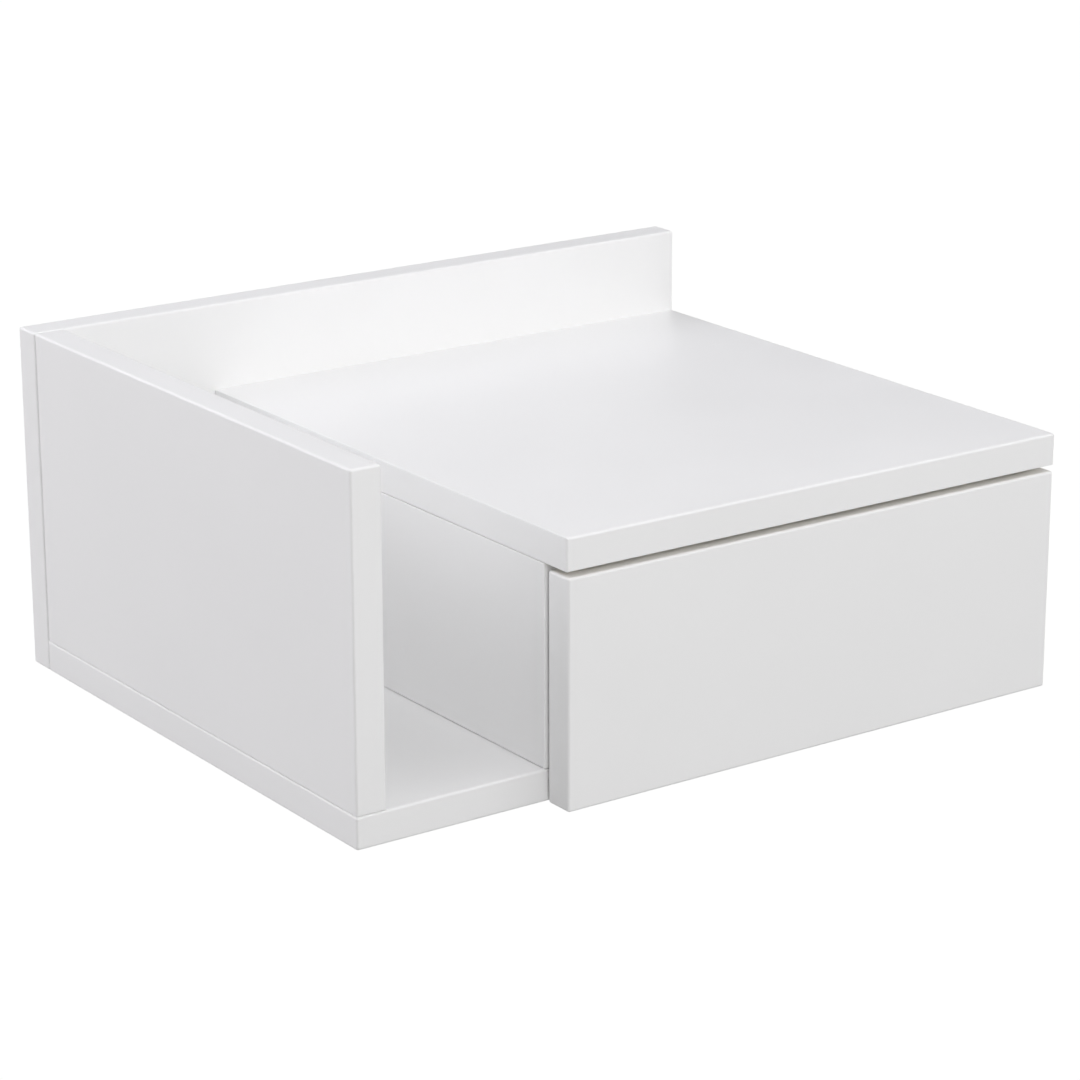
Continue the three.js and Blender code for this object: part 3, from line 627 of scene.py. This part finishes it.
# The wall's screws go through the back panel between the two uprights of the drawer's cavity.
ACROSS_SHARES = (0.2, 0.8)
HEIGHT_SHARES = (0.3, 0.78)
back_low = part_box("back_panel")[0]
right_low, right_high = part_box("right_side_panel")
divider_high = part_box("divider_panel")[1]
wall_row = []
for across in ACROSS_SHARES:
    for up in HEIGHT_SHARES:
        x = divider_high.x + (right_low.x - divider_high.x) * across
        z = right_low.z + (right_high.z - right_low.z) * up
        wall_row.append((Vector((x, back_low.y, z)), Vector((0, 1, 0))))
print(len(back_row + base_row), "screws in the boards,", len(wall_row), "holes for the wall's screws")

# %% Drill the holes
# A wall screw and a dowel, with their sizes in the same order as the screws above.
WALL_SCREW = (30, 2.4, 4.8, 2.8)
DOWEL = (30, 4.0)
PLAY = 0.15
OVERRUN = 1


def sunk_hole(length, shank, head, head_height):
    """The profile of a hole for a flat-head screw, with some play."""
    return [(0, -OVERRUN), (head + PLAY, -OVERRUN), (head + PLAY, 0), (shank + PLAY, head_height + PLAY),
            (shank + PLAY, length + PLAY), (0, length + PLAY)]


def straight_hole(length, shank):
    """The profile of a plain hole, with the same play."""
    return [(0, -OVERRUN), (shank + PLAY, -OVERRUN), (shank + PLAY, length + PLAY), (0, length + PLAY)]


def drill(name, jobs):
    """One cutter with a hole at every point of every job: a profile and its points."""
    made = []
    for i, (profile, points) in enumerate(jobs):
        tool = lathe(f"{name}_tool_{i}", profile, SCREW_FACETS)
        made.append(place_row(f"{name}_{i}", points, tool, None, turn=0.0))
        bpy.data.objects.remove(tool)
    bm = bmesh.new()
    for piece in made:
        bm.from_mesh(piece.data)
        bpy.data.objects.remove(piece)
    return new_piece(name, bm)


cabinet_drill = drill("cabinet_drill", [
    (sunk_hole(*BOARD_SCREW), back_row + base_row),
    (sunk_hole(*WALL_SCREW), wall_row),
    (straight_hole(*RUNNER_SCREW[:2]), channel_row),
    (straight_hole(*DOWEL), dowel_row),
])
drawer_drill = drill("drawer_drill", [
    (straight_hole(*FRONT_SCREW[:2]), front_row),
    (straight_hole(*SHELF_SCREW[:2]), angle_row),
])
print("the drills have", len(cabinet_drill.data.polygons) + len(drawer_drill.data.polygons), "faces")

# %% [markdown]
# ## Boards
# A lacquered board is sawn, its outer arrises are rounded a little over 1 mm and it's sprayed all over. Where
# one board stands on another, the arris is only broken with sandpaper and the film keeps the two a quarter
# of a millimetre apart, so the joint shows as a hairline. Against the back panel the screws pull the boards
# tight, and that joint hardly shows. The board starts as a box, with each butted side but the rear one set
# back by the film. Each edge gets a bevel weight from the two sides that it joins, one Bevel modifier rounds
# them all, and the drill cuts the holes.

# %% A board from its box
ARRIS = 1.2
BROKEN = 0.35
TIGHT = 0.12
FILM = 0.25
ROUNDING_STEPS = 5
NEAR = 0.01 * MM
SIDES = {"-x": (0, 0), "+x": (0, 1), "-y": (1, 0), "+y": (1, 1), "-z": (2, 0), "+z": (2, 1)}

# Edges with a rounding of their own, each named by the two sides that meet in it. The top's left end and the
# divider are flush, and both look over the drawer, so they are crisp there. The bottom's left end is rounded
# down to the back panel, which makes the seam between the two.
OWN_EDGES = {
    "top_panel": {("-x", "-z"): BROKEN, ("-x", "+z"): BROKEN, ("-y", "-z"): BROKEN},
    "divider_panel": {("-x", "-y"): BROKEN},
    "bottom_panel": {("-x", "+y"): ARRIS},
}


def box_mesh(low, high):
    """A box between two corners."""
    bm = bmesh.new()
    bmesh.ops.create_cube(bm, size=1.0)
    for vertex in bm.verts:
        vertex.co = [high[i] if vertex.co[i] > 0 else low[i] for i in range(3)]
    return bm


def board(node, material, butted=(), drilled_by=None, grooved_by=None):
    """A board in place of a packed one. butted names the sides that meet another board, +y the back."""
    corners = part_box(node)
    own = {frozenset(pair): rounded for pair, rounded in OWN_EDGES.get(node, {}).items()}
    for name in set(butted) - {"+y"}:
        axis, end = SIDES[name]
        corners[end][axis] += FILM * MM * (1 - 2 * end)
    bm = box_mesh(*corners)
    weight = bm.edges.layers.float.new("bevel_weight_edge")
    for edge in bm.edges:
        ends = [vertex.co for vertex in edge.verts]
        on = frozenset(name for name, (axis, end) in SIDES.items()
                       if all(abs(co[axis] - corners[end][axis]) < NEAR for co in ends))
        met = on & set(butted)
        usual = TIGHT if "+y" in met else BROKEN if met else ARRIS
        edge[weight] = own.get(on, usual) / ARRIS
    piece = new_piece(f"{node}_board", bm, material)
    rounding = piece.modifiers.new("rounding", "BEVEL")
    rounding.width = ARRIS * MM
    rounding.limit_method = "WEIGHT"
    rounding.segments = ROUNDING_STEPS
    rounding.use_clamp_overlap = False
    for cutter in filter(None, (drilled_by, grooved_by)):
        cut(piece, cutter)
    settle(piece)
    crisp(piece)
    return piece


# %% The cabinet's six boards
cabinet_boards = {
    "back_panel": (),
    "bottom_panel": ("+y",),
    "left_side_panel": ("-z",),
    "divider_panel": ("-z", "+z", "+y"),
    "right_side_panel": ("-z", "+z", "+y"),
    "top_panel": ("+y",),
}
FLAT = 0.99  # a normal that is this long along one axis belongs to a flat side
for node, butted in cabinet_boards.items():
    piece = board(node, satin_lacquer, butted, drilled_by=cabinet_drill)
    if node == "top_panel":
        # The top's underside gets the primer, whose darker, warmer tone is painted shade in the slit over the
        # drawer.
        piece.data.materials.append(primed_mdf)
        for face in piece.data.polygons:
            face.material_index = int(face.normal.z < -FLAT)
    seat(piece, "cabinet", "lacquered_mdf", node)

# %% [markdown]
# ## The drawer
# The front is a lacquered board like the cabinet's. It's screwed to a box of foiled boards, whose wrapped
# edges are rounder than a sawn edge but tighter than a sanded one. A groove round the inside of the box
# holds the hardboard bottom, painted side up.

# %% The drawer's boards
GROOVE_PLAY = 0.3
low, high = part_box("drawer_bottom")
groove_low = [part - GROOVE_PLAY * MM for part in low]
groove_high = [part + GROOVE_PLAY * MM for part in high]
groove = new_piece("groove_cutter", box_mesh(groove_low, groove_high))

front = board("drawer_front", satin_lacquer, drilled_by=drawer_drill)
seat(front, "drawer", "lacquered_mdf", "drawer_front")
box_boards = {
    "drawer_left_side": ("-y",),
    "drawer_right_side": ("-y",),
    "drawer_box_front": ("-x", "+x", "-y"),
    "drawer_box_back": ("-x", "+x"),
}
for node, butted in box_boards.items():
    piece = board(node, white_foil, butted, drilled_by=drawer_drill, grooved_by=groove)
    seat(piece, "drawer", "foiled_board", node)

UPWARD = 0.5  # a normal that rises more than this belongs to the painted side
drawer_floor = board("drawer_bottom", raw_hardboard, tuple(SIDES))
drawer_floor.data.materials.append(painted_hardboard)
for face in drawer_floor.data.polygons:
    face.material_index = int(face.normal.z > UPWARD)
seat(drawer_floor, "drawer", "hardboard", "drawer_bottom")
for tool in (cabinet_drill, drawer_drill, groove):
    bpy.data.objects.remove(tool)

# %% [markdown]
# ## Setting the screws
# Now the rows of points get their screws. Each row becomes one plain mesh for its body.

# %% Set the screws
screw_rows = [
    ("board_screws", back_row + base_row, board_screw, "cabinet", back_screws + base_screws),
    ("cabinet_runner_screws", channel_row, runner_screw, "cabinet",
     channel_screws["left"] + channel_screws["right"]),
    ("drawer_runner_screws", angle_row, shelf_screw, "drawer", angle_screws),
    ("drawer_front_screws", front_row, front_screw, "drawer", front_screws),
]
for name, points, fastener, body, stands_for in screw_rows:
    piece = place_row(name, points, fastener, zinc_plate)
    seat(piece, body, "zinc_steel", *stands_for)
    bpy.data.objects.remove(fastener)

# %% [markdown]
# ## Runners
# A roller runner is a channel on the cabinet and an angle under the drawer, each folded from one strip of
# steel. The maker punches a row of slots and holes before folding, so that one runner suits many cabinets.
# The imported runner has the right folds, so a merged copy of it is kept, and a node tree punches the row:
# an obround from a filleted rectangle, repeated along the runner and cut out.

# %% Node tree: a row of punched slots
punch_tree, given = new_tree("punched_row", First="Vector", Count="Int", Pitch="Float",
                             Slot_length="Float", Slot_width="Float", Depth="Float", Material="Material")
plate = add(punch_tree, "GeometryNodeCurvePrimitiveQuadrilateral",
            links={"Width": given["Slot width"], "Height": given["Slot length"]})
half = add(punch_tree, "ShaderNodeMath", {"operation": "MULTIPLY", 1: 0.499}, {0: given["Slot width"]})
rounded = add(punch_tree, "GeometryNodeFilletCurve", {"mode": "POLY", "Count": 6},
              {"Curve": plate.outputs[0], "Radius": half.outputs[0]})
filled = add(punch_tree, "GeometryNodeFillCurve", {"mode": "NGONS"}, {"Curve": rounded.outputs[0]})
pulled = add(punch_tree, "GeometryNodeExtrudeMesh", {"Individual": False},
             {"Mesh": filled.outputs[0], "Offset Scale": given["Depth"]})
under = add(punch_tree, "GeometryNodeFlipFaces", links={"Mesh": filled.outputs[0]})
halves = add(punch_tree, "GeometryNodeJoinGeometry")
punch_tree.links.new(pulled.outputs["Mesh"], halves.inputs[0])
punch_tree.links.new(under.outputs[0], halves.inputs[0])
closed = add(punch_tree, "GeometryNodeMergeByDistance", {"Distance": WELD},
             {"Geometry": halves.outputs[0]})
step = add(punch_tree, "ShaderNodeCombineXYZ", links={"Y": given["Pitch"]})
line = add(punch_tree, "GeometryNodeMeshLine", {"mode": "OFFSET"},
           {"Count": given["Count"], "Start Location": given["First"], "Offset": step.outputs[0]})
spread = add(punch_tree, "GeometryNodeInstanceOnPoints", {"Rotation": Euler((0, math.pi / 2, 0))},
             {"Points": line.outputs[0], "Instance": closed.outputs[0]})
punches = add(punch_tree, "GeometryNodeRealizeInstances", links={"Geometry": spread.outputs[0]})
cutting = add(punch_tree, "GeometryNodeMeshBoolean", {"operation": "DIFFERENCE", "solver": "EXACT"},
              {"Mesh 1": given["Geometry"]})
punch_tree.links.new(punches.outputs[0], cutting.inputs["Mesh 2"])
end_tree(punch_tree, cutting.outputs[0], given["Material"])


# %% The four runner members
SLOT_WIDTH = 4.2


def merged_copy(node, name):
    """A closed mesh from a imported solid's loose triangles."""
    bm = bmesh.new()
    bm.from_mesh(nodes[node].data)
    bmesh.ops.remove_doubles(bm, verts=bm.verts, dist=WELD)
    return new_piece(name, bm)


def punch(piece, row, pitch, depth, x, y, z):
    """Punches a row of openings towards +X. The point is level with the row, at the runner's front end."""
    along, count, slot_length = row
    run_tree(piece, punch_tree, First=(x, y + along * MM, z), Count=count, Pitch=pitch * MM,
             Slot_length=slot_length * MM, Slot_width=SLOT_WIDTH * MM, Depth=depth * MM,
             Material=white_enamel)


# Rows are in millimetres from a runner's front end: where the first opening is, how many, and how long each.
CHANNEL_ROWS = [(88.75, 3, 8), (203.75, 2, 4.3)]
CHANNEL_PITCH = 28.75
CHANNEL_PUNCH = 3.5
ANGLE_ROW = (45, 5, 4.3)
ANGLE_PITCH = 32
ANGLE_PUNCH = 4
ANGLE_HEIGHT = 9

# The punch starts this far from the left runner's left side, or from the right runner's right side.
CHANNEL_START = {"left": -1, "right": -2.5}
ANGLE_START = {"left": 8.1, "right": -13}

for side in ("left", "right"):
    node = f"{side}_cabinet_runner"
    low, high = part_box(node)
    channel = merged_copy(node, f"{side}_channel")
    start = (low.x if side == "left" else high.x) + CHANNEL_START[side] * MM
    for row in CHANNEL_ROWS:
        punch(channel, row, CHANNEL_PITCH, CHANNEL_PUNCH, start, low.y, (low.z + high.z) / 2)
    crisp(channel)
    seat(channel, "cabinet", "enamelled_steel", node)

    node = f"{side}_drawer_runner"
    low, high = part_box(node)
    angle = merged_copy(node, f"{side}_angle")
    start = (low.x if side == "left" else high.x) + ANGLE_START[side] * MM
    punch(angle, ANGLE_ROW, ANGLE_PITCH, ANGLE_PUNCH, start, low.y, low.z + ANGLE_HEIGHT * MM)
    crisp(angle)
    seat(angle, "drawer", "enamelled_steel", node)

# %% [markdown]
# ## Rollers, rivets and pads
# Four nylon rollers carry the drawer, each on a shouldered rivet whose head sits in a recess of the roller.
# Two cast pads keep the front 1.5 mm off the carcass. All of them are turned shapes. A rim gets a small
# rounding, because nothing moulded or riveted has a knife edge, and a rounding is what catches the light.

# %% A helper that puts a turned piece in its place
def stand(piece, node, direction):
    """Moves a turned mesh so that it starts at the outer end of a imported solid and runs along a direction."""
    turned = Vector(direction).to_track_quat("Z", "Y").to_matrix().to_4x4()
    piece.data.transform(Matrix.Translation(outer_end(node, direction)) @ turned)


# %% The profiles
# The roller, in millimetres. Every size across is a radius.
TREAD = 9.0
WIDTH = 6.0
RIM = 0.8
BORE = 2.58
BORE_MOUTH = 2.9
BORE_EDGE = 0.3
RECESS = 4.8
RECESS_DEPTH = 1.6
SOFT = 0.3
MOULD_RING = [(6.2, 0), (6.35, 0.3), (7.0, 0.3), (7.15, 0)]
PARTING_LINE = [(TREAD, 2.9), (TREAD - 0.03, 3.0), (TREAD, 3.1)]
ROLLER = [
    (BORE, RECESS_DEPTH), *arc(RECESS - SOFT, RECESS_DEPTH - SOFT, SOFT, 90, 0, 3),
    *arc(RECESS + SOFT, SOFT, SOFT, 180, 270, 3), *MOULD_RING, *arc(TREAD - RIM, RIM, RIM, -90, 0, 5),
    *PARTING_LINE, *arc(TREAD - RIM, WIDTH - RIM, RIM, 0, 90, 5), (BORE_MOUTH, WIDTH),
    (BORE, WIDTH - BORE_EDGE), (BORE, RECESS_DEPTH),
]

# The rivet.
HEAD = 4.4
DOME = 1.0
HEAD_HEIGHT = 1.2
AXLE = 2.5
SHOULDER = 4.0
TAIL = 2.0
TAIL_LENGTH = 1.0
TAIL_EDGE = 0.2


def rivet(length):
    """A domed rivet whose shoulder takes up what the roller leaves of the length."""
    dome = [(HEAD * math.sin(a), DOME * (1.0 - math.cos(a))) for a in (i * math.pi / 12 for i in range(7))]
    shoulder_end = length - TAIL_LENGTH
    return [*dome, (HEAD, HEAD_HEIGHT), (AXLE, HEAD_HEIGHT), (AXLE, WIDTH), (SHOULDER, WIDTH),
            (SHOULDER, shoulder_end), (TAIL, shoulder_end), (TAIL, length - TAIL_EDGE),
            (TAIL - TAIL_EDGE, length), (0, length)]


# The pad.
PAD = 4.0
PAD_HEIGHT = 1.5
PAD_LIP = 0.15
PAD_FOOT = 3.9
PAD_FLAT = 1.2
quarter = [i * math.pi / 16 for i in range(1, 9)]
CROWN = [(PAD_FLAT + (PAD - PAD_FLAT) * math.cos(a), PAD_LIP + (PAD_HEIGHT - PAD_LIP) * math.sin(a))
         for a in quarter]
CAST_PAD = [(0, 0), (PAD_FOOT, 0), (PAD, PAD_LIP), *CROWN, (0, PAD_HEIGHT)]
print("a roller is", 2 * TREAD, "mm across and a pad", 2 * PAD, "mm")


# %% Set them on the runners and the uprights
ROLLER_FACETS = 64
RIVET_FACETS = 32
PAD_FACETS = 40
for side, inward in (("left", 1), ("right", -1)):
    for member, way in (("cabinet", -inward), ("drawer", inward)):
        direction = (way, 0, 0)
        roller = lathe(f"{side}_{member}_nylon_roller", ROLLER, ROLLER_FACETS, natural_nylon)
        stand(roller, f"{side}_{member}_roller", direction)
        crisp(roller)
        seat(roller, f"{side}_{member}_wheel", "nylon", f"{side}_{member}_roller")
        node = f"{side}_{member}_axle"
        low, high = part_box(node)
        axle = lathe(f"{side}_{member}_rivet", rivet((high.x - low.x) / MM), RIVET_FACETS, zinc_plate)
        stand(axle, node, direction)
        crisp(axle)
        seat(axle, member, "zinc_steel", node)
    pad = lathe(f"{side}_cast_pad", CAST_PAD, PAD_FACETS, clear_polyurethane)
    stand(pad, f"{side}_bumper_pad", (0, -1, 0))
    crisp(pad)
    seat(pad, "cabinet", "clear_pad", f"{side}_bumper_pad")

# %% The dowels keep their solids
for node in dowels:
    nodes[node].data.materials[0] = plain_beech
print(len(dowels), "beech dowels stay as packed")

# %% [markdown]
# ## Floor and light
# A catalogue picture of a white thing is made on a white table under large soft boxes. The table has to come
# out whiter than the thing, but if it lit the thing from below, the edges would drown. So the floor is a
# sheet that glows for the camera alone and throws no light. It curves up far away, as paper does on a studio
# wall, so that a low view meets no horizon. What a table would throw up comes from the air instead, which is
# white below the horizon and fades to nothing above it. Each soft box gives one side its own level: the
# faces that look up the brightest, then the front, then the left side. Those small steps are all that draws
# the boards. The fills stand for the white ceiling and walls, which light a satin board but are too wide and
# dim to show in its gloss, so they are kept out of reflections.

# %% Floor and backdrop
floor_paper, tree, place = bare_material("floor_paper")
weave = add(tree, "ShaderNodeTexNoise", {"Scale": 1 / (1.2 * MM), "Detail": 2.0}, {"Vector": place})
tone = add(tree, "ShaderNodeMix", {"data_type": "RGBA", A: linear("fcfcfc"), B: linear("ffffff")},
           {0: weave.outputs["Fac"]})
glow = add(tree, "ShaderNodeEmission", {"Strength": 1.03}, {"Color": tone.outputs[MIXED]})
through = add(tree, "ShaderNodeBsdfTransparent")
face_side = add(tree, "ShaderNodeNewGeometry")
seen = add(tree, "ShaderNodeMixShader",
           links={0: face_side.outputs["Backfacing"], 1: glow.outputs[0], 2: through.outputs[0]})
add(tree, "ShaderNodeOutputMaterial", links={"Surface": seen.outputs[0]})

FLOOR_HEIGHT = -0.45
FLOOR_REACH = 12.0
FLAT_REACH = 6.0
CURL = 0.8
CELLS = 40
bm = bmesh.new()
bmesh.ops.create_grid(bm, x_segments=CELLS, y_segments=CELLS, size=FLOOR_REACH)
for vertex in bm.verts:
    vertex.co.z = FLOOR_HEIGHT + CURL * max(0.0, vertex.co.length - FLAT_REACH) ** 2
floor = new_piece("floor", bm, floor_paper)
floor.visible_diffuse = False
floor.visible_glossy = False
floor.visible_transmission = False
floor.visible_shadow = False
floor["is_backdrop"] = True
print("the paper is", 2 * FLOOR_REACH, "m square and flat for", FLAT_REACH, "m from its middle")

world = bpy.data.worlds.new("white_room")
bpy.context.scene.world = world
world.use_nodes = True
world.node_tree.nodes.clear()
way = add(world.node_tree, "ShaderNodeTexCoord").outputs["Generated"]
height = add(world.node_tree, "ShaderNodeSeparateXYZ", links={0: way})
level = add(world.node_tree, "ShaderNodeMapRange",
            {"From Min": -0.15, "From Max": 0.5, "To Min": 0.41, "To Max": 0.0},
            {"Value": height.outputs["Z"]})
air = add(world.node_tree, "ShaderNodeBackground", {"Color": linear("ffffff")},
          {"Strength": level.outputs[0]})
add(world.node_tree, "ShaderNodeOutputWorld", links={"Surface": air.outputs[0]})
bpy.context.scene.view_settings.view_transform = "Standard"

# %% Soft boxes
def soft_box(name, place, target, size, power, tint):
    """A rectangular area light that faces a point."""
    lamp = bpy.data.lights.new(name, "AREA")
    lamp.shape = "RECTANGLE"
    lamp.size, lamp.size_y = size
    lamp.energy = power
    lamp.color = linear(tint)[:3]
    box = bpy.data.objects.new(name, lamp)
    bpy.context.scene.collection.objects.link(box)
    box.location = place
    box.rotation_euler = (Vector(target) - Vector(place)).to_track_quat("-Z", "Y").to_euler()
    return box


# Each light: its place and its size in metres, its power in watts, and its tint.
SOFT_BOXES = {
    "box_front": ((0.2, -2.0, 1.3), (2.0, 1.0), 12.5, "ffffff"),
    "box_front_left": ((-0.75, -2.3, 0.7), (0.8, 0.8), 11.6, "fffefe"),
    "box_right": ((2.0, -1.2, 1.1), (1.6, 1.2), 13.6, "ffffff"),
}
FILLS = {
    "fill_above": ((0.0, -0.2, 1.7), (2.0, 2.0), 9.4, "fbfbff"),
    "fill_behind_left": ((-1.3, 1.0, 1.3), (1.4, 1.2), 23.2, "fbfbff"),
    "fill_low_left": ((-1.8, 1.2, 0.2), (1.4, 1.2), 6.1, "fff9fc"),
    "fill_left": ((-1.2, -0.4, 1.6), (1.4, 1.2), 7.4, "fffdff"),
    "fill_right": ((1.4, -1.7, 1.3), (1.2, 1.0), 6.1, "ffffff"),
}
MIDDLE = (0, -0.15, 0)
for name, (place, size, power, tint) in (SOFT_BOXES | FILLS).items():
    box = soft_box(name, place, MIDDLE, size, power, tint)
    box.visible_glossy = name in SOFT_BOXES
print(len(SOFT_BOXES), "soft boxes and", len(FILLS), "fills")

# %% [markdown]
# ## The end
# The last line prints, in millimetres, how far each corner of the dressed part's box lies from the imported
# part's box.

# %% Sizes and the last line
visual_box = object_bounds()
grown = [round((v - c).length * 1000, 3) for v, c in zip(visual_box, cad_box)]
print("grown by", grown, "mm at the two corners")
